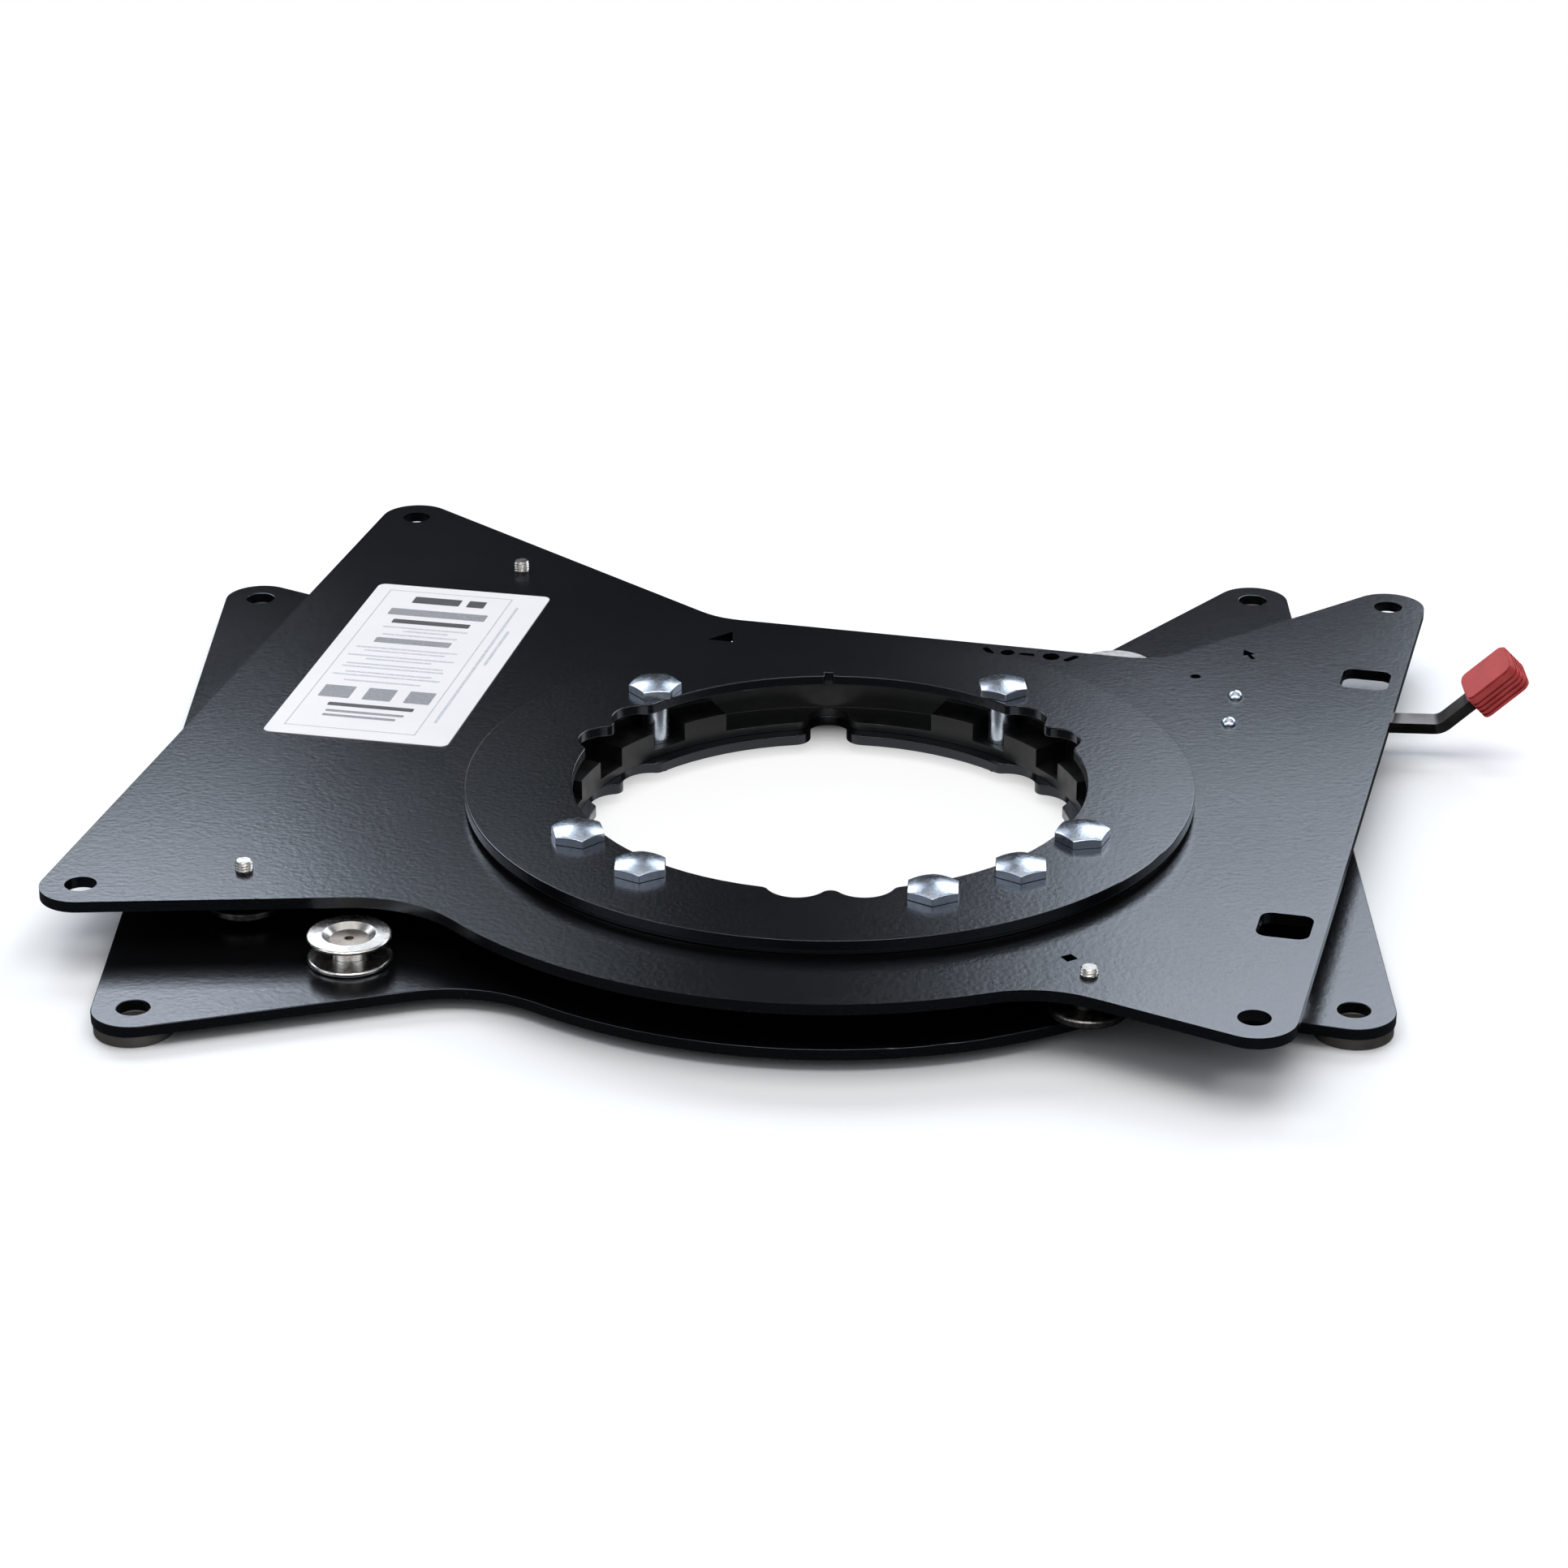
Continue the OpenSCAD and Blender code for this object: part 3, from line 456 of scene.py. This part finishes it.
def threaded_screws():
    """The three countersunk screws with their threads cut, in place of the smooth ones of the model."""
    crest, depth, pitch = 3.0 * MM, 0.45 * MM, 1.0 * MM
    head_z, shank_z, thread_z, point = 10.4 * MM, 13.0 * MM, 22.0 * MM, 0.6 * MM
    head_r, neck_r, socket, socket_depth = 5.8 * MM, 3.2 * MM, 3.6 * MM, 2 * MM
    rows_per_pitch, steps = 12, 48
    bm = bmesh.new()
    for place, stand in zip(BUTTONS, (3.4, 2.5, 3.9)):
        end_z = UPPER_TOP + stand * MM
        rings = [(head_z + socket_depth, hex_ring(socket)), (head_z, hex_ring(socket)),
                 (head_z, round_ring(head_r)), (shank_z, round_ring(neck_r)),
                 (shank_z, round_ring(crest)), (thread_z, round_ring(crest))]
        rows = int((end_z - thread_z) / (pitch / rows_per_pitch))
        for row in range(1, rows + 1):
            z = thread_z + (end_z - thread_z) * row / rows
            fade = min(1.0, (z - thread_z) / pitch)
            limit = crest - max(0.0, z - (end_z - point))
            rings.append((z, thread_ring(z, crest, depth * fade, pitch, limit)))
        lathe(bm, place, rings, steps)
    bmesh.ops.recalc_face_normals(bm, faces=bm.faces)
    mesh = bpy.data.meshes.new("button_screws_body")
    bm.to_mesh(mesh)
    bm.free()
    mesh.polygons.foreach_set("use_smooth", [True] * len(mesh.polygons))
    mesh.set_sharp_from_angle(angle=math.radians(35))
    piece = bpy.data.objects.new("button_screws_body", mesh)
    bpy.context.scene.collection.objects.link(piece)
    dress(piece, STUD)
    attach(piece, nodes["button_screws"]["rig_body"])
    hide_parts("button_screws")


# ---------------------------------------------------------------- print on the label

LABEL_PLACE, LABEL_TURN, LABEL_TOP = (-181.5, 76), math.radians(2), 24.8 * MM


INK_HEIGHT = 0.025 * MM


def plaque(bm, left, front, right, back, corner):
    """One flat patch of ink with rounded corners, in millimetres from the label's middle."""
    rim = []
    for x, y, start in ((right - corner, back - corner, 0), (left + corner, back - corner, 90),
                        (left + corner, front + corner, 180), (right - corner, front + corner, 270)):
        for step in range(4):
            angle = math.radians(start + 30 * step)
            rim.append((x + corner * math.cos(angle), y + corner * math.sin(angle)))
    c, s = math.cos(LABEL_TURN), math.sin(LABEL_TURN)
    loops = []
    for z in (LABEL_TOP, LABEL_TOP + INK_HEIGHT):
        spots = [turned_place(LABEL_PLACE[0] + x * c - y * s, LABEL_PLACE[1] + x * s + y * c) for x, y in rim]
        loops.append([bm.verts.new((spot.x, spot.y, z)) for spot in spots])
    for i in range(len(rim)):
        bm.faces.new((loops[0][i - 1], loops[0][i], loops[1][i], loops[1][i - 1]))
    bm.faces.new(loops[1])
    bm.faces.new(reversed(loops[0]))


def label_print():
    """Plain fields and bars in greys, where the real label carries its print."""
    left, right, front, back, line = -29, 21, -66, 68, 0.45
    frame_lines = [(left, front, left + line, back), (right - line, front, right, back),
                   (left, front, right, front + line), (left, back - line, right, back)]
    dark = [(-17, 56.5, 2, 63), (5, 56.5, 12, 63), (-19, 35.5, 12, 39.5), (-19, -46, 14, -43)]
    middle = [(-23, 43.5, 16, 50), (-20, 15.5, 10, 20.5), (-25, -38.5, -13, -27.5), (-8, -38.5, 3, -27.5),
              (8, -38.5, 18, -27.5), (-18, -51.5, 12, -49.5), (-18, -55.5, 10, -53.5)]
    pale = [(-21, 30.5, 13, 31.9), (-12, 27.2, 6, 28.6), (-19, 23.2, 11, 24.6)]
    rows = ((9.5, 1), (6.5, 5), (1.5, 0), (-1.5, 8), (-6.5, 2), (-9.5, 1), (-14.5, 4), (-17.5, 0), (-22.5, 6))
    pale += [(-26 + inset, y, 16 - inset, y + 1.3) for y, inset in rows]
    pale += [(24.4, -54, 25.6, 60), (27.4, 2, 28.6, 36)]
    for name, ink, patches in (("label_dark_print", (0.030, 0.030, 0.033), dark),
                               ("label_grey_print", (0.20, 0.20, 0.21), middle),
                               ("label_pale_print", (0.42, 0.42, 0.44), pale),
                               ("label_frame_print", (0.36, 0.36, 0.38), frame_lines)):
        bm = bmesh.new()
        for x0, y0, x1, y1 in patches:
            plaque(bm, x0, y0, x1, y1, min(0.5, 0.45 * min(x1 - x0, y1 - y0)))
        mesh = bpy.data.meshes.new(name)
        bm.to_mesh(mesh)
        bm.free()
        piece = bpy.data.objects.new(name, mesh)
        bpy.context.scene.collection.objects.link(piece)
        dress(piece, print_ink(name, ink, tuple(min(1.0, 1.5 * part + 0.02) for part in ink)))
        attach(piece, nodes["label"]["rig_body"])


threaded_screws()
label_print()


# ---------------------------------------------------------------- camera, floor and lights

def aim_camera():
    """The photograph's own view: along +Y and down, with a long lens."""
    down, roll_angle = math.radians(24.656), 0.002
    place = (-0.007189, -1.374980, 0.658881)
    data = bpy.data.cameras.new("camera")
    data.sensor_width = 36.0
    data.lens = 98.07
    data.shift_x = -0.01615
    data.clip_end = 20.0
    camera = bpy.data.objects.new("camera", data)
    bpy.context.scene.collection.objects.link(camera)
    tilt = Matrix.Rotation(math.pi / 2 - down, 4, "X")
    roll = Matrix.Rotation(roll_angle, 4, "Z")
    camera.matrix_world = Matrix.Translation(place) @ tilt @ roll
    bpy.context.scene.camera = camera


def softbox(name, place, target, width, height, radiance, colour=(1, 1, 1)):
    """A rectangular lamp of even radiance that faces its target and is hidden from the camera."""
    data = bpy.data.lights.new(name, "AREA")
    data.shape = "RECTANGLE"
    data.size = width
    data.size_y = height
    data.energy = radiance * math.pi * width * height
    data.color = colour
    light = bpy.data.objects.new(name, data)
    bpy.context.scene.collection.objects.link(light)
    light.location = place
    light.rotation_euler = (Vector(target) - Vector(place)).to_track_quat("-Z", "Y").to_euler()
    light.visible_camera = False
    return light


def background_rays(tree):
    """1 for the rays that show the white background: from the camera, off gloss and through glass."""
    path = tree.nodes.new("ShaderNodeLightPath")
    total = path.outputs["Is Camera Ray"]
    for name in ("Is Glossy Ray", "Is Transmission Ray"):
        node = tree.nodes.new("ShaderNodeMath")
        node.operation = "MAXIMUM"
        tree.links.new(total, node.inputs[0])
        tree.links.new(path.outputs[name], node.inputs[1])
        total = node.outputs[0]
    return total


def pale_floor():
    """A pale floor that takes the object's shadow and fades to white outside it, clear from below.

    In the plates' opening it is nearly white too, as in the photograph: painted light over the shadow the
    plates cast there. Distances are from the axis.
    """
    reach = 6.0
    shadow_end, white_from = 0.27, 0.60
    painted_light_radius, painted_light_edge = 0.085, 0.115
    mesh = bpy.data.meshes.new("floor")
    mesh.from_pydata(
        [(-reach, -reach, 0), (reach, -reach, 0), (reach, reach, 0), (-reach, reach, 0)], [], [(0, 1, 2, 3)])
    floor = bpy.data.objects.new("floor", mesh)
    bpy.context.scene.collection.objects.link(floor)
    s = Shader("floor", Roughness=0.9)
    s.colour(s.mix(s.spread(s.noise(1.5, 2.0), 0.3, 0.7), (0.93, 0.93, 0.93), (0.96, 0.96, 0.96)))
    s.bump((s.noise(300, 2.0), 0.0002, 0.05))
    white = s.add("ShaderNodeEmission")
    blend = s.add("ShaderNodeMixShader")
    distance = s.vector("LENGTH", s.place)
    outside = s.spread(distance, shadow_end, white_from)
    # Painted light: inside the plates' opening the floor is blended to white over the plates' shadow; beyond
    # the shadow it fades to the white backdrop.
    backdrop_white_and_painted_light = s.math("MAXIMUM", outside, s.spread(distance, painted_light_radius, painted_light_edge, 0.9, 0.0))
    s.feed(blend.inputs[0], s.math("MULTIPLY", background_rays(s.tree), backdrop_white_and_painted_light))
    s.feed(blend.inputs[1], s.surface.outputs[0])
    s.feed(blend.inputs[2], white.outputs[0])
    below = s.add("ShaderNodeMixShader")
    s.feed(below.inputs[0], s.add("ShaderNodeNewGeometry").outputs["Backfacing"])
    s.feed(below.inputs[1], blend.outputs[0])
    s.feed(below.inputs[2], s.add("ShaderNodeBsdfTransparent").outputs[0])
    s.feed(s.tree.nodes["Material Output"].inputs["Surface"], below.outputs[0])
    dress(floor, s.material)


def dark_flags():
    """Black studio cards round the object and under it, seen only in reflections.

    They keep black paint black. The card below is a disc and a wide ring. The gap between them
    lies just inside the ring of bolts, so that the bolts' shanks reflect the white floor.
    """
    low, high, steps = 0.0003, 2.20, 64
    disc, ring_from, wall = 0.060, 0.088, 1.35
    points = []
    for radius, z in ((disc, low), (ring_from, low), (wall, low), (wall, high)):
        points += [(radius * math.cos(2 * math.pi * i / steps), radius * math.sin(2 * math.pi * i / steps), z)
                   for i in range(steps)]
    faces = [tuple(range(steps))]
    faces += [(row + i, row + (i + 1) % steps, row + steps + (i + 1) % steps, row + steps + i)
              for row in (steps, 2 * steps) for i in range(steps)]
    mesh = bpy.data.meshes.new("flags")
    mesh.from_pydata(points, [], faces)
    flags = bpy.data.objects.new("flags", mesh)
    bpy.context.scene.collection.objects.link(flags)
    s = Shader("flags", Roughness=1.0)
    s.colour(s.mix(s.noise(3.0, 2.0), (0.010, 0.010, 0.011), (0.020, 0.020, 0.022)))
    dress(flags, s.material)
    flags.visible_camera = False
    flags.visible_diffuse = False
    flags.visible_transmission = False
    flags.visible_shadow = False


def backdrop():
    """White where the camera or gloss sees the background, and a dim cool light everywhere else."""
    world = bpy.data.worlds.new("studio")
    bpy.context.scene.world = world
    world.use_nodes = True
    tree = world.node_tree
    tree.nodes.clear()
    output = tree.nodes.new("ShaderNodeOutputWorld")
    seen = tree.nodes.new("ShaderNodeBackground")
    seen.inputs["Color"].default_value = (1, 1, 1, 1)
    lit = tree.nodes.new("ShaderNodeBackground")
    lit.inputs["Color"].default_value = (0.24, 0.25, 0.27, 1)
    mix = tree.nodes.new("ShaderNodeMixShader")
    tree.links.new(background_rays(tree), mix.inputs[0])
    tree.links.new(lit.outputs[0], mix.inputs[1])
    tree.links.new(seen.outputs[0], mix.inputs[2])
    tree.links.new(mix.outputs[0], output.inputs["Surface"])


# Upright lamps behind the object, and those turned round it: name, turn in degrees, left and right
# edge, lower and upper edge in metres, radiance. Only those that aren't turned light the object; the
# others show in its gloss alone, so that the plates have a sheen from every side.
PANEL_Y = 0.95
COOL = (0.84, 0.91, 1.0)
PANELS = (
    ("left_panel", 0, -1.2, -0.31, 0.52, 1.22, 7.0),
    ("left_wing", 0, -0.31, -0.15, 0.55, 1.22, 1.6),
    ("right_panel", 0, 0.14, 1.2, 0.47, 1.22, 4.8),
    ("right_low_panel", 0, 0.38, 1.2, 0.24, 0.47, 4.2),
    ("side_sheen_a", 90, -1.0, -0.20, 0.25, 0.90, 2.6),
    ("side_sheen_b", 90, 0.25, 1.0, 0.35, 1.00, 2.2),
    ("front_sheen_a", 180, -1.0, -0.20, 0.42, 1.00, 1.7),
    ("front_sheen_b", 180, 0.25, 1.0, 0.46, 1.05, 1.5),
    ("far_sheen_a", 270, -1.0, -0.20, 0.25, 0.90, 2.6),
    ("far_sheen_b", 270, 0.25, 1.0, 0.35, 1.00, 2.2),
)


def studio():
    """Floor, cards, background and lamps."""
    pale_floor()
    dark_flags()
    backdrop()
    for name, turn, left, right, low, high, radiance in PANELS:
        around = Matrix.Rotation(math.radians(turn), 3, "Z")
        x, z = (left + right) / 2, (low + high) / 2
        panel = softbox(name, around @ Vector((x, PANEL_Y, z)), around @ Vector((x, 0.0, z)),
                        right - left, high - low, radiance, COOL)
        panel.visible_diffuse = turn == 0
    top_box = softbox("top_box", (0.0, 0.0, 1.8), (0, 0, 0), 2.0, 1.6, 2.3)
    top_box.visible_glossy = False
    softbox("front_box", (0.0, -1.25, 0.95), (0, 0, 0), 1.2, 0.5, 0.4)
    edge_strip = softbox("edge_strip", (0.0, -1.15, 1.25), (0, 0, 0), 2.2, 0.6, 9.0)
    edge_strip.visible_diffuse = False
    edge_strip.visible_shadow = False


aim_camera()
studio()
bpy.context.scene.view_settings.view_transform = "Standard"
